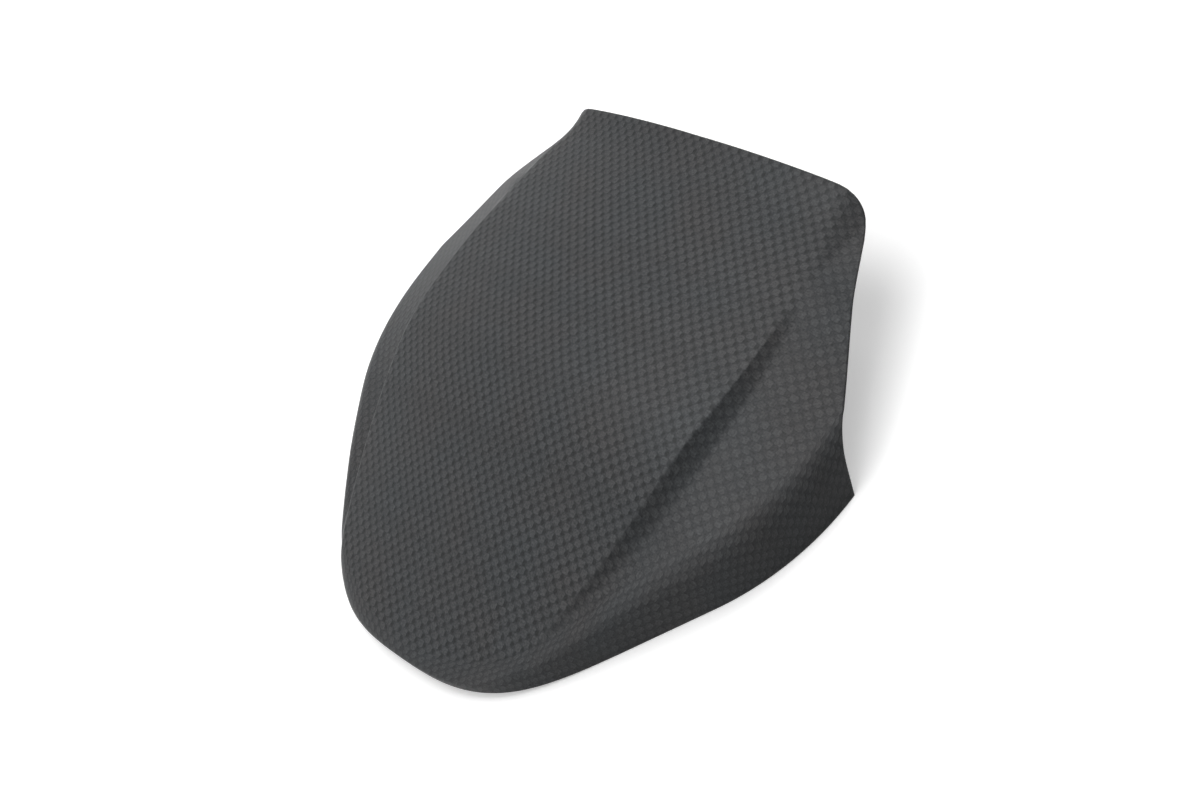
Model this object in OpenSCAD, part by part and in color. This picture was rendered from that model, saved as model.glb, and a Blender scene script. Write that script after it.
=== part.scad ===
// Headlight cover for a motorbike: one moulded shell with a shield shaped centre panel,
// a crease and a shallow groove on each side of it, falling wings, and a turned-down side wall.
// It stands on its rim, nose towards -Y, with its origin under the middle of its box.

/* [Cover] */
// Width over the two wing tips at the rim
cover_w = 189; // [170:1:220]
// Length from the nose to the rear edge
cover_l = 166.5; // [156:0.5:176]
// Thickness of the laminate
wall_t = 1.5; // [1.2:0.1:1.8]

/* [Outline] */
// Angle of each straight side to the centre line, degrees
side_angle = 37; // [32:0.5:40]
// Radius that turns each straight side to its wing tip
tip_r = 73; // [50:1:90]
// Distance of the wing tips from the nose
tip_y = 100.5; // [92:0.5:108]
// How much fuller the nose is than a round one
nose_full = 2.5; // [0:0.5:4]
// How far the wall's rear edge leans forward from shoulder to wing tip
tip_rake = 6.5; // [4:0.5:16]
// Height of the rim over the ground under the nose
nose_rise = 5; // [0:0.5:6]
// Width over which the rim rises to the nose
nose_rise_w = 130; // [90:1:150]

/* [Centre panel] */
// Widest distance between the two creases
panel_w = 130.5; // [120:0.5:140]
// Sweep radius of each crease, seen from above
crease_r = 220; // [160:5:300]
// Distance of the panel's widest place from the rear edge
panel_wide_y = 55; // [44:1:64]
// Height of the flat top over the rim
top_h = 36; // [32:0.2:40]
// Slope of the front part, degrees
front_angle = 19.5; // [16:0.5:21.5]
// Distance of the bend between front and top from the rear edge
bend_y = 84; // [74:1:94]
// Length over which that bend is soft
bend_soft = 12; // [6:1:24]
// Fall of the panel from its centre line to its widest place
panel_crown = 5.4; // [3:0.2:7]

/* [Rear edge] */
// Width between the two rear corners, measured to where the edges would meet
rear_w = 123; // [112:0.5:130]
// How far the rear edge bows back at its middle
rear_bow = -0.5; // [-3:0.5:3]
// Rise of the lip along the rear edge
lip_rise = 2; // [0:0.5:4]
// Length of that lip
lip_l = 12; // [8:1:20]
// How far each rear corner falls beside the lip
corner_drop = 3; // [1:0.2:4]
// Width of that fall
corner_w = 8.5; // [6:0.5:14]
// Length over which it opens towards the rear edge
corner_l = 21; // [14:1:30]
// Setback of the rounding at each rear corner
corner_set = 5.5; // [4:0.5:14]

/* [Grooves and wings] */
// Greatest depth of the groove below the crease
groove_d = 3.8; // [1:0.2:4.4]
// Width of the groove's inner face
groove_w = 5; // [4:0.5:8]
// Distance of the groove's deepest place from the rear edge
groove_mid = 91; // [80:1:100]
// Length of the groove
groove_l = 122; // [90:1:135]
// How quickly the groove fades towards its ends: higher is sooner
groove_fade = 1.2; // [1:0.1:2]
// Share of each wing's fall that comes from its outward curve
wing_bulge = 0; // [0:0.05:0.7]

/* [Side wall] */
// Height of the shoulders over the rim
shoulder_h = 16.5; // [14:0.5:20]
// Angle of the wall to the upright, degrees
wall_draft = 3.5; // [1:0.5:8]
// Setback of the shoulder's rounding between wing and wall
shoulder_set = 8.5; // [5:0.5:10]

/* [Hidden] */

// Plan positions along the centre line
rear_y = cover_l / 2;
nose_y = -cover_l / 2;
tip_py = nose_y + tip_y;
fold_y = rear_y - bend_y;
wide_y = rear_y - panel_wide_y;
deep_y = rear_y - groove_mid;

// Steps of the surface grid: rows run from the nose to the rear, columns from centre to rim
rows = 44;
panel_cols = 8;
groove_cols = 5;
wing_cols = 5;
round_cols = 5;
wall_cols = 2;

// The first row lies on the centre line: it starts this far behind the nose
first_spine = 22;
// and it meets the creases' columns this far behind the nose
first_crease = 7;
// How much closer the rows lie at the nose, along the centre line and along the creases
spine_pace = 1.25;
crease_pace = 0.38;
// Share of the rows over which the shoulder draws in from the rim behind the nose
draw_in = 0.33;
// Share of the rows in front of the rounding of the rear corners
corner_from = 0.75;
// Length over which the creases' columns swing out to the rear corners
swing_l = 40;
// Last column before the crease, and the largest share of a row that any one bend may take
near_crease = 3;
bend_share = 0.6;
// Narrowest wing that the falls are worked out for, and softness where two heights meet
least_wing = 4;
meet_soft = 3;
// Height of wall that the rim always leaves under the nose
least_nose = 1.5;
// Step for reading the slope of the skin
probe = 0.2;

// Tangent arcs of the outline: nose arc, straight side and tip arc
side_turn = 90 - side_angle;
tip_c = [cover_w / 2 - tip_r, tip_py];
side_n = [sin(side_turn), -cos(side_turn)];
side_end = tip_c + tip_r * side_n;
nose_r = (side_n * side_end + cos(side_turn) * nose_y) / (1 - cos(side_turn));
nose_c = [0, nose_y + nose_r];
side_start = nose_c + nose_r * side_n;
nose_len = nose_r * side_turn * PI / 180;
side_len = norm(side_end - side_start);
tip_len = tip_r * side_angle * PI / 180;

wall_inset = shoulder_h * tan(wall_draft);

function clamp01(u) = min(1, max(0, u));
function smooth(u) = clamp01(u) * clamp01(u) * (3 - 2 * clamp01(u));
function eased(u) = 1 - (1 - clamp01(u)) * (1 - clamp01(u));
function ramp(d, soft) = (d + sqrt(d * d + soft * soft)) / 2;
function mix(a, b, u) = a * (1 - u) + b * u;
function arc_at(c, r, turn) = c + r * [sin(turn), -cos(turn)];
function bezier(a, b, c, u) = (1 - u) * (1 - u) * a + 2 * u * (1 - u) * b + u * u * c;

// What the nose arc bulges by beyond a round one, from 0 at its middle to 1 at its end
function fuller(u) = nose_full * pow(sin(180 * u), 2);
// Point of the outline at a distance from the nose, moved inwards by inset
function outline(s, inset) =
    s < nose_len
        ? arc_at(nose_c, nose_r + fuller(s / nose_len) - inset, side_turn * s / nose_len)
    : s < nose_len + side_len
        ? side_start + (s - nose_len) / side_len * (side_end - side_start) - inset * side_n
    : s < nose_len + side_len + tip_len
        ? arc_at(tip_c, tip_r - inset, side_turn + (s - nose_len - side_len) / tip_r * 180 / PI)
    : tip_c + [tip_r - inset, s - nose_len - side_len - tip_len];

// Height of the skin: centre line, crown, crease, groove and wing
function spine_z(y) = top_h - tan(front_angle) * ramp(fold_y - y, bend_soft)
    + lip_rise * pow(clamp01((y - rear_y + lip_l) / lip_l), 2);
function crease_x(y) = panel_w / 2 - (y - wide_y) * (y - wide_y) / (2 * crease_r);
function groove_at(y) =
    groove_d * pow(cos(90 * min(1, abs(y - deep_y) / (groove_l / 2))), groove_fade);
function crown_at(x) = panel_crown * pow(x / (panel_w / 2), 2);
function edge_z(y) = spine_z(y) - crown_at(crease_x(y));
function low_of(a, b, soft) = a - ramp(a - b, soft);
function shoulder_z(y) = low_of(shoulder_h, edge_z(y), meet_soft);
function outline_x(y) =
    y < side_start[1] ? sqrt(max(0, nose_r * nose_r - (y - nose_c[1]) * (y - nose_c[1])))
    : y < side_end[1]
        ? mix(side_start[0], side_end[0], (y - side_start[1]) / (side_end[1] - side_start[1]))
    : y < tip_py ? tip_c[0] + sqrt(tip_r * tip_r - (y - tip_py) * (y - tip_py))
    : cover_w / 2;
function wing_z(d, y) = let (w = max(least_wing, outline_x(y) - wall_inset - crease_x(y)),
    a = min(1, d / w),
    fall = edge_z(y) - shoulder_z(y))
    -fall * mix(a, a * a, wing_bulge) - groove_at(y) * (1 - a) * eased(d / groove_w);
function corner_z(x, y) = let (opened = smooth((y - rear_y + corner_l) / (corner_l / 2)),
    start = rear_w / 2 - corner_w * opened)
    -corner_drop * opened * pow(clamp01((x - start) / corner_w), 2);
function skin_z(x, y) = let (c = crease_x(y))
    spine_z(y) - crown_at(min(x, c)) + wing_z(max(0, x - c), y) + corner_z(x, y);
function skin(p) = [p[0], p[1], skin_z(abs(p[0]), p[1])];

// Plan of a row: from the centre line through the crease to the shoulder
function soft_start(t, a) = (sqrt(a * a + t * t) - a) / (sqrt(a * a + 1) - a);
function spine_at(t) = [0, mix(nose_y + first_spine, rear_y, pow(t, spine_pace))];
function bend_y_at(t) = mix(nose_y + first_crease, rear_y - rear_bow, soft_start(t, crease_pace));
function inner_nose_x(y) = let (r = nose_r - first_crease, d = y - nose_c[1])
    d > 0 ? cover_w : sqrt(max(0, r * r - d * d));
function crease_at(t) = let (y = bend_y_at(t), c = crease_x(y), n = inner_nose_x(y),
    edge = mix(c, rear_w / 2, smooth((y - rear_y + swing_l) / swing_l)))
    [t == 0 ? 0 : max(0, low_of(edge, n, meet_soft)), y];
shoulder_len = nose_len + side_len + tip_len + tip_rake;
rim_len = nose_len + side_len + tip_len;
function shoulder_at(t) = outline(shoulder_len * t, wall_inset * smooth(t / draw_in));
nose_lift = max(0, min(nose_rise, spine_z(nose_y) - least_nose));
function rim_z(x) = nose_lift * (1 - smooth(abs(x) / (nose_rise_w / 2)));
function rim_at(t) = let (p = outline(rim_len * t, 0)) [p[0], p[1], rim_z(p[0])];

// A point of a row in plan, at distance q beyond the crease or, below zero, before it
function leg(t, q) = let (b = crease_at(t), e = q < 0 ? spine_at(t) : shoulder_at(t))
    b + abs(q) * (e - b) / norm(e - b);
function row_xy(t, q) = let (h = corner_set * smooth((t - corner_from) / (1 - corner_from)))
    abs(q) >= h ? leg(t, q)
    : bezier(leg(t, -h), crease_at(t), leg(t, h), (q + h) / (2 * h));

// Distances from the crease at which the row has its columns
function panel_dist(t) = let (n = norm(crease_at(t) - spine_at(t)), near = min(near_crease, n / 4))
    [for (k = [0:panel_cols - 1]) -mix(n, near, k / (panel_cols - 1)), -near / 2];
function wing_dist(t) = let (n = norm(crease_at(t) - shoulder_at(t)),
    last = n - min(shoulder_set, bend_share * n),
    across = (shoulder_at(t)[0] - crease_at(t)[0]) / n,
    groove = min(groove_w / max(probe, across), bend_share * last))
    [for (k = [0:groove_cols]) groove * k / groove_cols,
        for (k = [1:wing_cols]) mix(groove, last, k / wing_cols)];
function skin_dist(t) = concat(panel_dist(t), wing_dist(t));

function row(t) = let (e = skin(shoulder_at(t)), r = rim_at(t), q = skin_dist(t),
    top = [for (d = q) skin(row_xy(t, d))], a = top[len(top) - 1],
    w = norm(r - e), b = e + (r - e) * min(shoulder_set, bend_share * w) / w)
    concat(top,
        [for (k = [1:round_cols]) bezier(a, e, b, k / round_cols)],
        [for (k = [1:wall_cols]) mix(b, r, k / wall_cols)]);

grid = [for (i = [0:rows]) row(i / rows)];
cols = len(grid[0]) - 1;
skin_cols = cols - round_cols - wall_cols;

// Outward normals, from the height function on the skin and from the grid on the wall
function unit(v) = v / norm(v);
function flip(p) = [-p[0], p[1], p[2]];
function skin_n(p) = let (h = probe)
    unit([(skin_z(abs(p[0] - h), p[1]) - skin_z(abs(p[0] + h), p[1])) / (2 * h),
        (skin_z(p[0], p[1] - h) - skin_z(p[0], p[1] + h)) / (2 * h), 1]);
function wall_n(i, k) = let (
    u = grid[min(rows, i + 1)][k] - (i == 0 ? flip(grid[1][k]) : grid[i - 1][k]),
    v = grid[i][min(cols, k + 1)] - grid[i][k - 1])
    unit(cross(v, u));
function inner_at(i, k) = let (n = k <= skin_cols ? skin_n(grid[i][k]) : wall_n(i, k),
    f = k == cols ? unit([n[0], n[1], 0]) : n)
    i == 0 || k == 0 ? grid[i][k] - wall_t * unit([0, f[1], f[2]]) : grid[i][k] - wall_t * f;
inner = [for (i = [0:rows]) [for (k = [0:cols]) inner_at(i, k)]];

// Corner numbers: right half with the centre line first, then the left half, then the inner skin
right_n = (rows + 1) * (cols + 1);
skin_n_all = right_n + rows * cols;
function id(left, i, k) = left && i > 0 && k > 0
    ? right_n + (i - 1) * cols + k - 1
    : i * (cols + 1) + k;
function points_of(g) = concat(
    [for (i = [0:rows]) for (k = [0:cols]) g[i][k]],
    [for (i = [1:rows]) for (k = [1:cols]) flip(g[i][k])]);
function turned(face) = [face[2], face[1], face[0]];
function shifted(face, n) = [face[0] + n, face[1] + n, face[2] + n];
function tiles(left) = [for (i = [0:rows - 1]) for (k = [0:cols - 1])
    for (f = [[id(left, i, k), id(left, i + 1, k), id(left, i + 1, k + 1)],
        [id(left, i, k), id(left, i + 1, k + 1), id(left, i, k + 1)]]) f];
function strip(a, b) = [[a, b, a + skin_n_all], [b, b + skin_n_all, a + skin_n_all]];
function edges(left) = concat(
    [for (i = [0:rows - 1]) for (f = strip(id(left, i, cols), id(left, i + 1, cols))) f],
    [for (k = [0:cols - 1]) for (f = strip(id(left, rows, k + 1), id(left, rows, k))) f]);

// The box's middle along Y, moved over the origin
points = concat(points_of(grid), points_of(inner));
lengths = [for (p = points) p[1]];
middle_y = (min(lengths) + max(lengths)) / 2;

module cover_shell() {
    color([0.07, 0.07, 0.075])
        translate([0, -middle_y, 0])
        polyhedron(points = points,
            faces = concat(
                tiles(false),
                [for (f = tiles(true)) turned(f)],
                [for (f = tiles(false)) turned(shifted(f, skin_n_all))],
                [for (f = tiles(true)) shifted(f, skin_n_all)],
                edges(false),
                [for (f = edges(true)) turned(f)]),
            convexity = 6);
}

cover_shell();
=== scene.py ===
import math

import bmesh
import bpy
import numpy as np
from mathutils import Euler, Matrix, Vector


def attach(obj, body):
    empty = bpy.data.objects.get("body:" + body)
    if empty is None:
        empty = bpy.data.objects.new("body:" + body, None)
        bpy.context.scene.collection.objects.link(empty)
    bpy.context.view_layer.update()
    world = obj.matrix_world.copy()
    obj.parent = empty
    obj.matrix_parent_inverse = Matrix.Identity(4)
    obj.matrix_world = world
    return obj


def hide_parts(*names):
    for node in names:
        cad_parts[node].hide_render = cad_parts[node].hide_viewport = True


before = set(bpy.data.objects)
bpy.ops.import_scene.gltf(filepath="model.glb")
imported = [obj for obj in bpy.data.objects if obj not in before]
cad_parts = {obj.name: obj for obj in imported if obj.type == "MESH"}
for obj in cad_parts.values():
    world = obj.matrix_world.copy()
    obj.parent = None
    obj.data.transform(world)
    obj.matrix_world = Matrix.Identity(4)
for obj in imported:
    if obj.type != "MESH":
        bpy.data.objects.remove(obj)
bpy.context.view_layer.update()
print("frame loaded")

scene = bpy.context.scene
scene.view_settings.view_transform = "Standard"

# the moulding, in millimetres and degrees; the solid's grooves are shallower and shorter, its
# corners fall a little less, and its creases are sharp
cover = {
    "width": 189.0,
    "length": 166.5,
    "wall": 1.5,
    "sideAngle": 37.0,
    "tipRadius": 73.0,
    "tipBack": 100.5,  # wing tips behind the nose
    "tipRake": 6.5,
    "noseFullness": 2.5,
    "noseRise": 5.0,
    "noseRiseWidth": 130.0,
    "panelWidth": 130.5,
    "creaseRadius": 220.0,
    "panelWidest": 55.0,  # in front of the rear edge, as the next two are
    "bendPlace": 84.0,
    "grooveMiddle": 99.0,
    "grooveLength": 143.0,
    "grooveDepth": 4.9,
    "grooveWidth": 4.8,
    "grooveNarrow": 0.5,  # share of its width that is left where it runs out
    "grooveEnds": 1.2,
    "topHeight": 36.0,
    "frontAngle": 19.5,
    "bendSoft": 12.0,
    "panelCrown": 5.4,
    "rearWidth": 123.0,
    "rearBow": -0.5,
    "lipRise": 2.0,
    "lipLength": 12.0,
    "cornerDrop": 3.3,  # the rear corners fall beside the lip by this much,
    "cornerRun": 31.0,  # over this length in front of the rear edge,
    "cornerTip": 3.5,  # on a face this wide at first,
    "cornerWidth": 11.0,  # and this wide at the rear edge,
    "cornerLength": 22.0,  # which widens over this length
    "cornerSetback": 5.5,
    "wingLeast": 4.0,
    "shoulderHeight": 16.5,
    "shoulderSoft": 3.0,
    "wallDraft": 3.5,
    "shoulderSetback": 8.5,
    "creaseRound": 0.35,  # the crease's edge is rounded by this much,
    "creaseFade": 4.5,  # and by this much more towards the rear,
    "fadeStart": 50.0,  # from here on, measured from the rear edge,
    "fadeLength": 38.0,
    "cutEase": 0.2,  # sanded edge of the trimmed rim
    "wingTurn": 2.0,  # over this width at the crease, the painted shade in the tows falls to the wings' lesser share
}

# where the skin's points lie, and how many there are
mesh = {
    "rows": 190,
    "panelColumns": 26,
    "creaseSteps": (-2.4, -1.5, -0.9, -0.45, -0.15),
    "grooveShares": (0.0, 0.03, 0.09, 0.18, 0.3, 0.44, 0.6, 0.76, 0.89),
    "wingColumns": 18,
    "roundColumns": 10,
    "wallColumns": 9,
    "spineFront": 22.0,  # the rows start this far behind the nose on the centre line,
    "creaseFront": 7.0,  # and this far behind it along the crease
    "spineSpread": 1.25,
    "creaseSpread": 0.38,
    "rearTaper": 40.0,  # over this length the row's bend goes from the crease to the rear corner
    "bendSoft": 3.0,
    "insetShare": 0.33,  # first share of the rows, in which the shoulder moves in over the rim
    "cornerShare": 0.25,  # last share of them, in which the row's bend is rounded
    "roundShare": 0.6,  # most of a short wing or wall that the groove or the rounding takes
    "fineReach": 10.0,  # a panel narrower than this has its finer steps drawn together
    "leastAcross": 0.2,  # least share of a wing row's length that counts as its width
    "clothSteps": 60,
    "spineSteps": 400,
    "cutShare": 0.45,  # most of the last column that the eased cut edge takes
}

c = cover
rearY = c["length"] / 2
noseY = -rearY
tipY = noseY + c["tipBack"]
foldY = rearY - c["bendPlace"]
wideY = rearY - c["panelWidest"]
deepY = rearY - c["grooveMiddle"]

sideTurn = math.radians(90 - c["sideAngle"])
tipCentre = np.array([c["width"] / 2 - c["tipRadius"], tipY])
sideOut = np.array([math.sin(sideTurn), -math.cos(sideTurn)])
sideEnd = tipCentre + c["tipRadius"] * sideOut
noseRadius = (sideOut @ sideEnd + math.cos(sideTurn) * noseY) / (1 - math.cos(sideTurn))
noseCentre = np.array([0.0, noseY + noseRadius])
sideStart = noseCentre + noseRadius * sideOut
noseRun = noseRadius * sideTurn
sideRun = float(np.linalg.norm(sideEnd - sideStart))
tipRun = c["tipRadius"] * math.radians(c["sideAngle"])
wallInset = c["shoulderHeight"] * math.tan(math.radians(c["wallDraft"]))


# an eased step, a rounded ramp and a mix
def smooth(u):
    u = np.clip(u, 0, 1)
    return u * u * (3 - 2 * u)


def ramp(d, soft):
    return (d + np.sqrt(d * d + soft * soft)) / 2


def blend(a, b, u):
    return a * (1 - u) + b * u


def arcPoint(centre, radius, turn):
    return centre + radius * np.array([math.sin(turn), -math.cos(turn)])


# a point of the rim's outline at a distance s from the nose, and the way out there
def outlineAt(s, inset):
    if s < noseRun:
        turn = s / noseRadius
        full = c["noseFullness"] * math.sin(math.pi * turn / sideTurn) ** 2
        return arcPoint(noseCentre, noseRadius + full - inset, turn), turn
    s -= noseRun
    if s < sideRun:
        return blend(sideStart, sideEnd, s / sideRun) - inset * sideOut, sideTurn
    s -= sideRun
    if s < tipRun:
        turn = sideTurn + s / c["tipRadius"]
        return arcPoint(tipCentre, c["tipRadius"] - inset, turn), turn
    return tipCentre + np.array([c["tipRadius"] - inset, s - tipRun]), math.pi / 2


# height of the centre line
def spineZ(y):
    lip = np.clip((y - rearY + c["lipLength"]) / c["lipLength"], 0, 1)
    slope = math.tan(math.radians(c["frontAngle"]))
    return c["topHeight"] - slope * ramp(foldY - y, c["bendSoft"]) + c["lipRise"] * lip**2


# half the panel's width, at the crease
def creaseX(y):
    return c["panelWidth"] / 2 - (y - wideY) ** 2 / (2 * c["creaseRadius"])


# depth of the groove
def grooveAt(y):
    u = np.minimum(1, np.abs(y - deepY) / (c["grooveLength"] / 2))
    return c["grooveDepth"] * np.cos(math.pi / 2 * u) ** c["grooveEnds"]


# the panel's own fall beside its centre line
def crownAt(x):
    return c["panelCrown"] * (x / (c["panelWidth"] / 2)) ** 2


# heights of the crease and of the shoulder
def edgeZ(y):
    return spineZ(y) - crownAt(creaseX(y))


def shoulderZ(y):
    return c["shoulderHeight"] - ramp(c["shoulderHeight"] - edgeZ(y), c["shoulderSoft"])


# half the rim's width
def outlineX(y):
    nose = np.sqrt(np.maximum(0, noseRadius**2 - (y - noseCentre[1]) ** 2))
    side = blend(sideStart[0], sideEnd[0], (y - sideStart[1]) / (sideEnd[1] - sideStart[1]))
    tip = tipCentre[0] + np.sqrt(np.maximum(0, c["tipRadius"] ** 2 - (y - tipY) ** 2))
    x = np.where(y < sideStart[1], nose, np.where(y < sideEnd[1], side, tip))
    return np.where(y < tipY, x, c["width"] / 2)


# the wing's fall at a distance d beyond the crease, with the groove beside the crease
def wingZ(d, y):
    width = np.maximum(c["wingLeast"], outlineX(y) - wallInset - creaseX(y))
    a = np.minimum(1, d / width)
    fall = edgeZ(y) - shoulderZ(y)
    deep = grooveAt(y)
    face = c["grooveWidth"] * blend(c["grooveNarrow"], 1, deep / c["grooveDepth"])
    near = 1 - (1 - np.clip(d / face, 0, 1)) ** 2
    return -fall * a - deep * (1 - a) * near


# the skin falls beside the lip, over a face that widens towards each rear corner
def cornerZ(x, y):
    fallen = smooth((y - rearY + c["cornerRun"]) / c["cornerRun"])
    opened = smooth((y - rearY + c["cornerLength"]) / c["cornerLength"])
    width = blend(c["cornerTip"], c["cornerWidth"], opened)
    start = c["rearWidth"] / 2 + c["cornerTip"] - width
    return -c["cornerDrop"] * fallen * smooth((x - start) / width)


# height of the outer skin over the rim
def skinZ(x, y):
    crease = creaseX(y)
    fade = smooth((y - rearY + c["fadeStart"]) / c["fadeLength"])
    beyond = ramp(x - crease, c["creaseRound"] + c["creaseFade"] * fade)
    panel = spineZ(y) - crownAt(x - beyond)
    return panel + wingZ(beyond, y) + cornerZ(x, y)


# one row of the lay-out runs from the centre line over the crease to the shoulder
def spineAt(t):
    return np.array([0.0, blend(noseY + mesh["spineFront"], rearY, t ** mesh["spineSpread"])])


def creaseAt(t):
    spread, front, taper = mesh["creaseSpread"], mesh["creaseFront"], mesh["rearTaper"]
    soft = (math.sqrt(spread**2 + t * t) - spread) / (math.sqrt(spread**2 + 1) - spread)
    y = blend(noseY + front, rearY - c["rearBow"], soft)
    inner = c["width"]
    if y <= noseCentre[1]:
        inner = math.sqrt(max(0, (noseRadius - front) ** 2 - (y - noseCentre[1]) ** 2))
    edge = blend(creaseX(y), c["rearWidth"] / 2, smooth((y - rearY + taper) / taper))
    return np.array([0.0 if t == 0 else max(0, edge - ramp(edge - inner, mesh["bendSoft"])), y])


def shoulderAt(t):
    run = noseRun + sideRun + tipRun + c["tipRake"]
    return outlineAt(run * t, wallInset * smooth(t / mesh["insetShare"]))


# a point of the rim, which rises under the nose
def rimAt(t):
    p, turn = outlineAt((noseRun + sideRun + tipRun) * t, 0)
    z = c["noseRise"] * (1 - smooth(abs(p[0]) / (c["noseRiseWidth"] / 2)))
    return np.array([p[0], p[1], z]), turn


# plan of one row at the distances q from its bend: inwards below 0, outwards above
def rowPlan(t, q):
    a, b, e = spineAt(t), creaseAt(t), shoulderAt(t)[0]
    back, out = (a - b) / np.linalg.norm(a - b), (e - b) / np.linalg.norm(e - b)
    reach = c["cornerSetback"] * smooth(1 - (1 - t) / mesh["cornerShare"])
    q = np.asarray(q)[:, None]
    straight = np.where(q < 0, b - q * back, b + q * out)
    if reach < 1e-6:
        return straight
    u = (q + reach) / (2 * reach)
    curved = (1 - u) ** 2 * (b + reach * back) + 2 * u * (1 - u) * b + u * u * (b + reach * out)
    return np.where(np.abs(q) < reach, curved, straight)


# the distances of one row's points from its bend
def rowSteps(t):
    a, b, e = spineAt(t), creaseAt(t), shoulderAt(t)[0]
    n, w = np.linalg.norm(a - b), np.linalg.norm(e - b)
    steps = np.array(mesh["creaseSteps"]) * min(1, n / mesh["fineReach"])
    panel = blend(-n, steps[0], np.linspace(0, 1, mesh["panelColumns"] + 1)[:-1])
    last = w - min(c["shoulderSetback"], mesh["roundShare"] * w)
    across = max(mesh["leastAcross"], (e[0] - b[0]) / w)
    width = min(c["grooveWidth"] / across, mesh["roundShare"] * last)
    groove = np.array(mesh["grooveShares"]) * width
    wing = blend(width, last, np.linspace(0, 1, mesh["wingColumns"] + 1))
    return np.concatenate([panel, steps, groove, wing])


# length of the cloth across the panel, from the centre line out to x
def clothAcross(x, y):
    steps = np.linspace(0, 1, mesh["clothSteps"] + 1)
    xs = np.abs(x)[:, None] * steps
    zs = skinZ(xs, np.repeat(y[:, None], len(steps), 1))
    return np.sqrt(np.diff(xs) ** 2 + np.diff(zs) ** 2).sum(1)


# and its length along the centre line, from the nose on
spineYs = np.linspace(noseY, rearY + 2, mesh["spineSteps"])
spineGaps = np.sqrt(np.diff(spineYs) ** 2 + np.diff(spineZ(spineYs)) ** 2)
spineRuns = np.concatenate([[0], np.cumsum(spineGaps)])


# points of one row from the centre line to the rim, their places on the cloth, and by how much
# the painted shade in the tows is lessened there, as it is on the wings
def layRow(t):
    xy = rowPlan(t, rowSteps(t))
    x, y = xy[:, 0], xy[:, 1]
    skin = np.column_stack([xy, skinZ(x, y)])
    cloth = np.column_stack([clothAcross(x, y), np.interp(y, spineYs, spineRuns)])
    top, turn = shoulderAt(t)
    corner = np.array([*top, float(skinZ(top[0], top[1]))])
    foot = rimAt(t)[0]
    drop = np.linalg.norm(foot - corner)
    reach = min(c["shoulderSetback"], mesh["roundShare"] * drop)
    under = corner + (foot - corner) * reach / drop
    u = np.linspace(0, 1, mesh["roundColumns"] + 1)[1:, None]
    rounded = (1 - u) ** 2 * skin[-1] + 2 * u * (1 - u) * corner + u * u * under
    u = np.linspace(0, 1, mesh["wallColumns"] + 1)[1:, None]
    wall = blend(under, foot, u)
    side = np.vstack([rounded, wall])
    # the cloth goes on outwards, by the length that it falls
    runs = np.cumsum(np.linalg.norm(np.diff(np.vstack([skin[-1], side]), axis=0), axis=1))
    out = np.array([math.sin(turn), -math.cos(turn)])
    fallen = cloth[-1] + runs[:, None] * out
    # the painted shade in the tows is lessened beyond the crease and in the fallen rear corners
    past = smooth((x - creaseX(y)) / c["wingTurn"] + 0.5)
    cornered = -2 * cornerZ(x, y) / c["cornerDrop"]
    wing = np.concatenate([np.clip(past + cornered, 0, 1), np.ones(len(side))])
    return np.vstack([skin, side]), np.vstack([cloth, fallen]), wing


def unit(v):
    return v / np.maximum(np.linalg.norm(v, axis=-1, keepdims=True), 1e-12)


# outward directions from the neighbours in the lay-out, mirrored at the centre line
def outward(grid):
    mirrored = grid[1:2] * [-1, 1, 1]
    tall = np.concatenate([mirrored, grid, 2 * grid[-1:] - grid[-2:-1]])
    along = tall[2:] - tall[:-2]
    side = grid[:, 1:2] * [-1, 1, 1]
    wide = np.concatenate([side, grid, 2 * grid[:, -1:] - grid[:, -2:-1]], axis=1)
    across = wide[:, 2:] - wide[:, :-2]
    n = unit(np.cross(across, along))
    n[0, :, 0] = 0
    n[:, 0, 0] = 0
    n[0, 0] = n[0, 1]  # the rows meet in this corner
    return unit(n)


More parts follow.
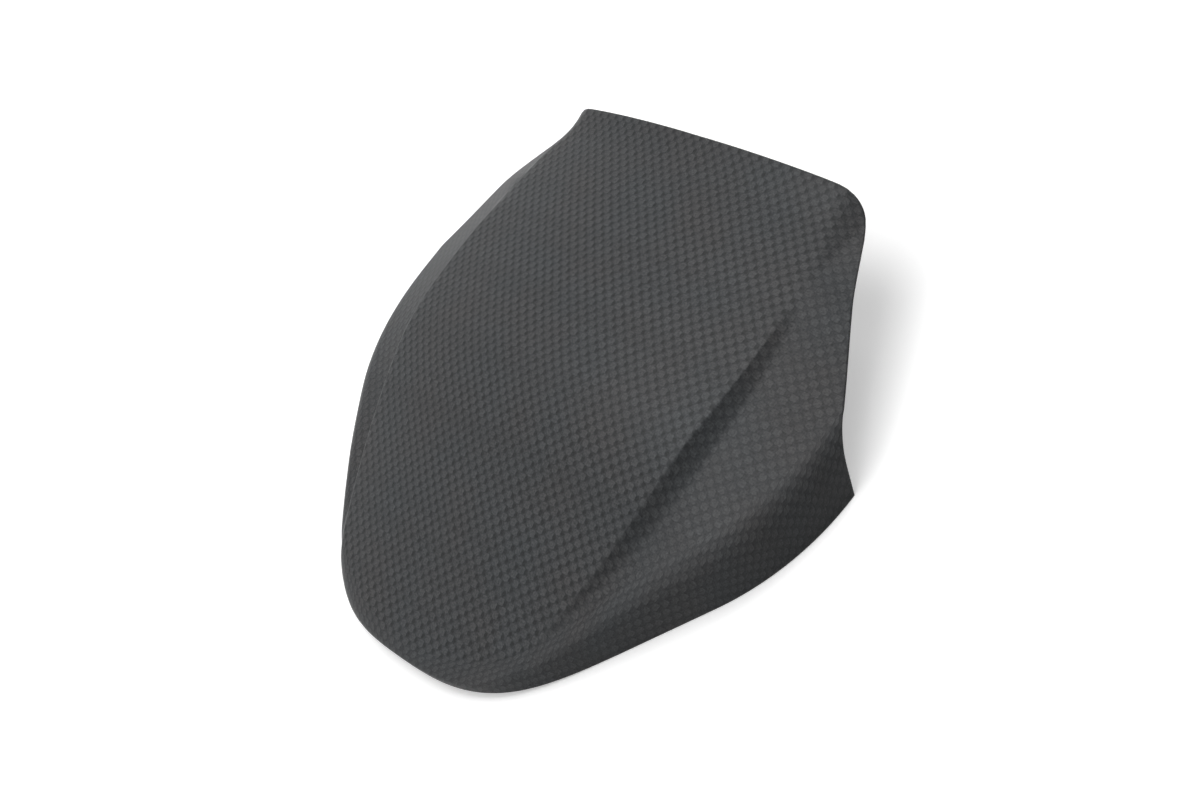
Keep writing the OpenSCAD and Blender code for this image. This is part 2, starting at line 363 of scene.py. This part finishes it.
# the outer skin, the inner one a wall's thickness inwards, and the cut edge between them
def buildShell():
    rows = [layRow(i / mesh["rows"]) for i in range(mesh["rows"] + 1)]
    grid = np.array([r[0] for r in rows])
    cloth = np.array([r[1] for r in rows])
    # share by which the painted shade in the tows is lessened at each point
    wing = np.array([r[2] for r in rows])
    normal = outward(grid)
    normal[:, -1] = unit(normal[:, -1] * [1, 1, 0])
    inner = grid - c["wall"] * normal
    lengths = np.concatenate([grid[..., 1].ravel(), inner[..., 1].ravel()])
    middle = (lengths.min() + lengths.max()) / 2
    for g in (grid, inner):
        g[..., 1] -= middle
    count, width = grid.shape[:2]
    # numbers of the points: the right half, the left half without the centre line and the first
    # row, then the same again inside
    right = np.arange(count * width).reshape(count, width)
    left = right.copy()
    extra = np.arange((count - 1) * (width - 1)).reshape(count - 1, width - 1)
    left[1:, 1:] = count * width + extra
    outerCount = count * width + (count - 1) * (width - 1)

    def both(g):
        return np.concatenate([g.reshape(-1, 3), (g[1:, 1:] * [-1, 1, 1]).reshape(-1, 3)])

    def bothCloth(g):
        return np.concatenate([g.reshape(-1, 2), (g[1:, 1:] * [-1, 1]).reshape(-1, 2)])

    points = np.concatenate([both(grid), both(inner)])
    # cloth coordinates in mm, and the depth in the laminate: 0 outside, 1 inside
    flat = bothCloth(cloth)
    laid = np.concatenate([np.insert(flat, 2, 0, axis=1), np.insert(flat, 2, 1, axis=1)])
    shadeLessened = np.tile(np.concatenate([wing.ravel(), wing[1:, 1:].ravel()]), 2)
    faces = []

    def tile(ids, flip):
        a, b, d, e = ids[:-1, :-1], ids[1:, :-1], ids[1:, 1:], ids[:-1, 1:]
        quads = np.stack([a, b, d, e] if not flip else [e, d, b, a], -1).reshape(-1, 4)
        faces.extend(quads.tolist())

    tile(right, False)
    tile(left, True)
    tile(right + outerCount, True)
    tile(left + outerCount, False)

    # the cut edge, eased on both sides
    loop = [*right[:, -1], *right[-1, -2::-1], *left[-1, 1:], *left[-2:0:-1, -1]]
    loop = np.array(loop)
    a, b = points[loop], points[loop + outerCount]
    ease = c["cutEase"] / c["wall"]
    first = len(points)
    points = np.concatenate([points, blend(a, b, ease), blend(a, b, 1 - ease)])
    laid = np.concatenate([laid, laid[loop] + [0, 0, ease], laid[loop] + [0, 0, 1 - ease]])
    shadeLessened = np.concatenate([shadeLessened, shadeLessened[loop], shadeLessened[loop]])
    # the skins stop short of the cut by the same ease
    inwards = {}
    for i in range(count):
        inwards[right[i, -1]] = right[i, -2]
        inwards[left[i, -1]] = left[i, -2]
    for k in range(width):
        for ids in (right, left):
            inwards[ids[-1, k]] = ids[-2, k] if k < width - 1 else ids[-2, k - 1]
    for j, k in inwards.items():
        for shift in (0, outerCount):
            step = points[k + shift] - points[j + shift]
            reach = np.linalg.norm(step)
            points[j + shift] += step * min(c["cutEase"] / reach, mesh["cutShare"])
    n = len(loop)
    for i in range(n):
        j = (i + 1) % n
        ring = [loop[i], first + i, first + n + i, loop[i] + outerCount]
        nextRing = [loop[j], first + j, first + n + j, loop[j] + outerCount]
        for k in range(3):
            faces.append([int(v) for v in (ring[k], nextRing[k], nextRing[k + 1], ring[k + 1])])
    return points, faces, laid, shadeLessened


def makeCover():
    points, faces, laid, shadeLessened = buildShell()
    data = bpy.data.meshes.new("coverShell")
    data.from_pydata((points / 1000).tolist(), [], faces)
    data.validate()
    cloth = data.attributes.new("cloth", "FLOAT_VECTOR", "POINT")
    cloth.data.foreach_set("vector", laid.ravel())
    # wing: share by which the painted shade in the tows is lessened
    wing = data.attributes.new("wing", "FLOAT", "POINT")
    wing.data.foreach_set("value", shadeLessened)
    data.polygons.foreach_set("use_smooth", [True] * len(data.polygons))
    data.update()
    shell = bpy.data.objects.new("coverShell", data)
    scene.collection.objects.link(shell)
    bm = bmesh.new()
    bm.from_mesh(data)
    openEdges = sum(len(e.link_faces) != 2 for e in bm.edges)
    print("open edges", openEdges, "volume in cm3", round(bm.calc_volume() * 1e6, 2))
    bm.free()
    return shell


shell = makeCover()
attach(shell, "root")
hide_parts("cover_shell")
print("shell built", len(shell.data.polygons), "faces")

# matt plain-weave cloth in satin resin; sizes in millimetres
laminate = {
    "towPitch": 2.0,
    "drift": 0.5,  # how far the tows wander
    "driftSize": 34.0,
    # both tow directions are one cloth; the across tows are painted lighter and the along tows
    # darker, a painted sheen and painted shade of how each catches the lamps
    "across": (0.051, 0.052, 0.054),
    "along": (0.036, 0.037, 0.039),
    "gap": (0.024, 0.025, 0.026),
    "towFlat": 3.0,  # power of the tow's section: higher is flatter with steeper sides
    "overSharp": 2.5,
    "fillSharp": 1.15,
    "paintedShade": (0.020, 0.021, 0.022),  # painted shade: dark patch on the tows that run along
    "paintedShadeShift": 0.32,
    "paintedShadeRound": 1.5,
    "paintedShadeSharp": 1.3,
    "paintedShadeWing": 0.2,  # how much of the painted shade is left on the wings
    "grainSize": 0.6,
    "grainSpread": 1.7,
    "towSpread": 0.16,  # how much one tow's tone differs from the next one's
    "fibreSpread": 0.5,
    "fibreWidth": 0.16,
    "fibreLength": 2.4,
    "mottleSize": 26.0,
    "mottleSharp": 3.0,
    "mottle": ((0.97, 1.01, 1.02), (1.03, 1.00, 0.98)),
    "roughness": (0.48, 0.60),  # on the tows' tops and in the resin between them
    "roughFibre": 0.12,
    "specular": 0.08,
    "coat": 0.14,
    "coatRoughness": 0.3,
    "weaveHeight": 0.07,
    "fibreHeight": 0.008,
    "plies": 5,
    "cutSharp": 30.0,
    "cutColours": ((0.030, 0.030, 0.031), (0.012, 0.012, 0.013)),
    "cutRelief": 0.6,
    "plyContrast": 0.4,
    "raggedSize": 0.5,
    "insideSharp": 20.0,
    "insideColour": (0.034, 0.035, 0.037),
    "insideShare": 0.3,
    "peelPitch": 0.55,  # print of the cloth that is peeled off the inside
    "peelRelief": 0.3,
    "poolSize": 9.0,  # pools of resin on the inside
    "roughSides": 0.82,  # roughness of the inside and of the cut edge
}


# short ways to add nodes to one material
class NodeMaker:
    def __init__(self, tree):
        self.nodes, self.links = tree.nodes, tree.links

    def put(self, socket, value):
        if isinstance(value, bpy.types.NodeSocket):
            self.links.new(value, socket)
        elif isinstance(value, tuple) and len(socket.default_value) == 4:
            socket.default_value = (*value[:3], 1)
        else:
            socket.default_value = value

    def calc(self, kind, a, b=None, clamp=False):
        n = self.nodes.new("ShaderNodeMath")
        n.operation = kind
        n.use_clamp = clamp
        self.put(n.inputs[0], a)
        if b is not None:
            self.put(n.inputs[1], b)
        return n.outputs[0]

    def between(self, factor, a, b, kind="FLOAT", mixing="MIX"):
        n = self.nodes.new("ShaderNodeMix")
        n.data_type = kind
        if kind == "RGBA":
            n.blend_type = mixing
        sockets = {s.identifier: s for s in n.inputs}
        self.put(sockets["Factor_Float"], factor)
        end = {"FLOAT": "Float", "RGBA": "Color"}[kind]
        self.put(sockets["A_" + end], a)
        self.put(sockets["B_" + end], b)
        return {s.identifier: s for s in n.outputs}["Result_" + end]

    def vector(self, x, y, z=0.0):
        n = self.nodes.new("ShaderNodeCombineXYZ")
        for i, v in enumerate((x, y, z)):
            self.put(n.inputs[i], v)
        return n.outputs[0]

    def split(self, v):
        n = self.nodes.new("ShaderNodeSeparateXYZ")
        self.put(n.inputs[0], v)
        return n.outputs

    def noise(self, v, size, detail=2.0):
        n = self.nodes.new("ShaderNodeTexNoise")
        n.inputs["Scale"].default_value = 1 / size
        n.inputs["Detail"].default_value = detail
        self.put(n.inputs["Vector"], v)
        return n.outputs

    def chance(self, v):
        n = self.nodes.new("ShaderNodeTexWhiteNoise")
        n.noise_dimensions = "3D"
        self.put(n.inputs["Vector"], v)
        return n.outputs["Value"]

    def bump(self, height, depth, under=None):
        n = self.nodes.new("ShaderNodeBump")
        n.inputs["Distance"].default_value = depth / 1000
        n.inputs["Strength"].default_value = 1
        self.put(n.inputs["Height"], height)
        if under is not None:
            self.put(n.inputs["Normal"], under)
        return n.outputs[0]


def makeLaminate():
    mat = bpy.data.materials.new("mattWeave")
    mat.use_nodes = True
    make = NodeMaker(mat.node_tree)
    shader = make.nodes["Principled BSDF"]
    calc, between = make.calc, make.between
    look = laminate

    cloth = make.nodes.new("ShaderNodeAttribute")
    cloth.attribute_name = "cloth"
    u, v, depth = make.split(cloth.outputs["Vector"])
    # wing: share by which the painted shade in the tows is lessened
    wing = make.nodes.new("ShaderNodeAttribute")
    wing.attribute_name = "wing"
    wing = wing.outputs["Fac"]
    sharp = look["insideSharp"]
    inside = calc("SUBTRACT", calc("MULTIPLY", depth, sharp), sharp - 1, clamp=True)
    fromSkin = calc("MINIMUM", depth, calc("SUBTRACT", 1, depth))
    cut = calc("MULTIPLY", fromSkin, look["cutSharp"], clamp=True)

    # a value from 0 to 1 becomes one around 0, from -spread / 2 to spread / 2
    def aroundZero(t, spread):
        return calc("MULTIPLY", calc("SUBTRACT", t, 0.5), spread)

    # the cloth drifts a little, as it does when it is laid by hand
    plane = make.vector(u, v)
    driftU, driftV, _ = make.split(make.noise(plane, look["driftSize"], detail=1.0)["Color"])
    wander = 2 * look["drift"] / look["towPitch"]
    towU = calc("ADD", calc("DIVIDE", u, look["towPitch"]), calc("MULTIPLY", driftU, wander))
    towV = calc("ADD", calc("DIVIDE", v, look["towPitch"]), calc("MULTIPLY", driftV, wander))

    # plain weave: each tow goes over one and under the next
    def wave(t):
        return calc("SINE", calc("MULTIPLY", t, math.pi))

    def body(t):
        side = calc("ABSOLUTE", aroundZero(calc("FRACT", t), 2))
        return calc("SUBTRACT", 1, calc("POWER", side, look["towFlat"]))

    waveU, waveV = wave(towU), wave(towV)
    alongRise = calc("MULTIPLY", calc("SIGN", waveU), waveV)
    acrossRise = calc("MULTIPLY", calc("SIGN", waveV), waveU)
    alongTop = calc("ADD", alongRise, body(towU))
    acrossTop = calc("SUBTRACT", body(towV), acrossRise)
    top = calc("MAXIMUM", alongTop, acrossTop)
    isAlong = calc("MULTIPLY", calc("SUBTRACT", alongTop, acrossTop), look["overSharp"])
    isAlong = calc("ADD", isAlong, 0.5, clamp=True)
    height = calc("MULTIPLY", top, 0.5)
    filled = calc("MULTIPLY", top, look["fillSharp"], clamp=True)

    # tone of each tow and of the fibres in it
    floorU, floorV = calc("FLOOR", towU), calc("FLOOR", towV)
    toneAlong = make.chance(make.vector(floorU, 0.5, 1.5))
    toneAcross = make.chance(make.vector(0.5, floorV, 2.5))
    tone = between(isAlong, toneAcross, toneAlong)
    squeeze = look["fibreWidth"] / look["fibreLength"]
    alongTow = make.vector(u, calc("MULTIPLY", v, squeeze))
    acrossTow = make.vector(calc("MULTIPLY", u, squeeze), v)
    fibreAlong = make.noise(alongTow, look["fibreWidth"])["Fac"]
    fibreAcross = make.noise(acrossTow, look["fibreWidth"])["Fac"]
    fibre = between(isAlong, fibreAcross, fibreAlong)
    light = calc("ADD", 1 - look["towSpread"] / 2, calc("MULTIPLY", tone, look["towSpread"]))
    streak = aroundZero(fibre, look["fibreSpread"])
    grain = make.noise(plane, look["grainSize"])["Fac"]
    speckle = aroundZero(grain, look["grainSpread"])
    light = calc("ADD", calc("ADD", light, streak), speckle)

    # on the panel, the tows that run along get a patch of painted shade, nearer to one of their
    # sides
    shadeSide = calc("ADD", aroundZero(calc("FRACT", towU), 2), look["paintedShadeShift"])
    shadeSide = calc("MULTIPLY", calc("MULTIPLY", shadeSide, shadeSide), look["paintedShadeRound"])
    shadeSpot = calc("SUBTRACT", alongRise, shadeSide)
    shadeSpot = calc("MULTIPLY", shadeSpot, look["paintedShadeSharp"], clamp=True)
    shadeSpot = calc("MULTIPLY", shadeSpot, between(wing, 1.0, look["paintedShadeWing"]))

    # painted sheen and shade: the tows that run across lighter than those that run along
    weave = between(isAlong, look["across"], look["along"], "RGBA")
    weave = between(filled, look["gap"], weave, "RGBA")
    # painted shade laid over the tows that run along
    weave = between(shadeSpot, weave, look["paintedShade"], "RGBA")
    weave = between(1.0, weave, make.vector(light, light, light), "RGBA", "MULTIPLY")
    mottle = make.noise(plane, look["mottleSize"], detail=3.0)["Fac"]
    mottle = calc("ADD", aroundZero(mottle, look["mottleSharp"]), 0.5, clamp=True)
    tint = between(mottle, *look["mottle"], "RGBA")
    weave = between(1.0, weave, tint, "RGBA", "MULTIPLY")

    # the cut edge shows the layers, the inside the print of the peeled cloth
    layer = calc("SINE", calc("MULTIPLY", depth, 2 * math.pi * look["plies"]))
    ragged = make.noise(make.vector(u, v, calc("MULTIPLY", depth, 2)), look["raggedSize"])["Fac"]
    layer = calc("ADD", calc("MULTIPLY", layer, look["plyContrast"]), ragged, clamp=True)
    cutTone = between(layer, *look["cutColours"], "RGBA")
    peelU = calc("SINE", calc("MULTIPLY", u, 2 * math.pi / look["peelPitch"]))
    peelV = calc("SINE", calc("MULTIPLY", v, 2 * math.pi / look["peelPitch"]))
    peel = calc("MULTIPLY", peelU, peelV)
    pools = make.noise(plane, look["poolSize"], detail=3.0)["Fac"]
    insideTone = between(look["insideShare"], weave, look["insideColour"], "RGBA")
    colour = between(inside, weave, insideTone, "RGBA")
    colour = between(cut, colour, cutTone, "RGBA")
    make.put(shader.inputs["Base Color"], colour)

    tops, dips = look["roughness"]
    rough = between(filled, dips, tops)
    rough = calc("ADD", rough, aroundZero(fibre, look["roughFibre"]))
    rough = between(calc("MAXIMUM", inside, cut), rough, look["roughSides"])
    make.put(shader.inputs["Roughness"], rough)
    shader.inputs["Specular IOR Level"].default_value = look["specular"]
    shader.inputs["Coat Weight"].default_value = look["coat"]
    shader.inputs["Coat Roughness"].default_value = look["coatRoughness"]
    shader.distribution = "GGX"

    printed = calc("ADD", calc("MULTIPLY", peel, look["peelRelief"]), pools)
    relief = between(inside, height, printed)
    relief = between(cut, relief, calc("MULTIPLY", layer, look["cutRelief"]))
    surface = make.bump(relief, look["weaveHeight"])
    surface = make.bump(fibre, look["fibreHeight"], surface)
    make.put(shader.inputs["Normal"], surface)
    return mat


shell.data.materials.append(makeLaminate())
print("laminate made")

# the studio: a pale floor and soft lamps; each lamp is place, size and power
studio = {
    "floorSize": 6.0,
    "floorSeen": 0.92,  # by the camera and in gloss
    "floorUnseen": 0.12,  # for all other light, which it throws back at the cover
    "floorLift": 0.3,  # its own light, seen by the camera and in gloss alone
    "floorRough": 0.9,
    "skySeen": 1.0,  # by the camera and in gloss
    "skyLight": 0.12,  # on the cover
    "lamps": {
        "overhead": ((-0.05, 0.05, 1.25), 1.0, 6.6),
        "left": ((-0.45, 0.10, 1.15), 0.8, 3.0),
        "right": ((0.35, 0.30, 1.20), 0.6, 0.5),
        "rear": ((0.0, 1.20, 0.75), 0.8, 8.5),
        "front": ((0.15, -1.20, 0.70), 1.5, 11.0),
    },
}


# 1 for rays from the camera and for those in gloss and glass
def backgroundRay(make):
    path = make.nodes.new("ShaderNodeLightPath").outputs
    seen = make.calc("MAXIMUM", path["Is Camera Ray"], path["Is Glossy Ray"])
    return make.calc("MAXIMUM", seen, path["Is Transmission Ray"])


def makeFloor():
    bpy.ops.mesh.primitive_plane_add(size=studio["floorSize"], location=(0, 0, 0))
    floor = bpy.context.object
    floor.name = "floor"
    mat = bpy.data.materials.new("paleFloor")
    mat.use_nodes = True
    make = NodeMaker(mat.node_tree)
    shader = make.nodes["Principled BSDF"]
    shader.inputs["Roughness"].default_value = studio["floorRough"]
    shader.inputs["Specular IOR Level"].default_value = 0.0
    seen = backgroundRay(make)
    dark, pale = (studio["floorUnseen"],) * 3, (studio["floorSeen"],) * 3
    make.put(shader.inputs["Base Color"], make.between(seen, dark, pale, "RGBA"))
    shader.inputs["Emission Color"].default_value = (1, 1, 1, 1)
    make.put(shader.inputs["Emission Strength"], make.calc("MULTIPLY", seen, studio["floorLift"]))
    floor.data.materials.append(mat)


def makeLights():
    world = bpy.data.worlds.new("studioAir")
    scene.world = world
    world.use_nodes = True
    make = NodeMaker(world.node_tree)
    sky = make.nodes["Background"]
    sky.inputs["Color"].default_value = (1, 1, 1, 1)
    strength = make.between(backgroundRay(make), studio["skyLight"], studio["skySeen"])
    make.put(sky.inputs["Strength"], strength)
    for name, (place, size, power) in studio["lamps"].items():
        lamp = bpy.data.lights.new(name, "AREA")
        lamp.shape = "SQUARE"
        lamp.size = size
        lamp.energy = power
        o = bpy.data.objects.new(name, lamp)
        o.location = place
        o.rotation_euler = (-Vector(place)).to_track_quat("-Z", "Y").to_euler()
        scene.collection.objects.link(o)


makeFloor()
makeLights()
print("studio made")

# the photograph's view: metres, degrees, and millimetres for the lens and its sensor
view = {
    "place": (0.41202, -0.10684, 0.37580),
    "turn": (40.855, 29.964, 44.230),
    "lens": 58.86,
    "sensor": 36.0,
    "near": 0.01,
    "far": 50.0,
}
lens = bpy.data.cameras.new("camera")
lens.lens = view["lens"]
lens.sensor_width = view["sensor"]
lens.sensor_fit = "HORIZONTAL"
lens.clip_start = view["near"]
lens.clip_end = view["far"]
eye = bpy.data.objects.new("camera", lens)
eye.location = view["place"]
eye.rotation_euler = Euler([math.radians(a) for a in view["turn"]], "XYZ")
scene.collection.objects.link(eye)
scene.camera = eye

bpy.context.view_layer.update()
print("camera set")
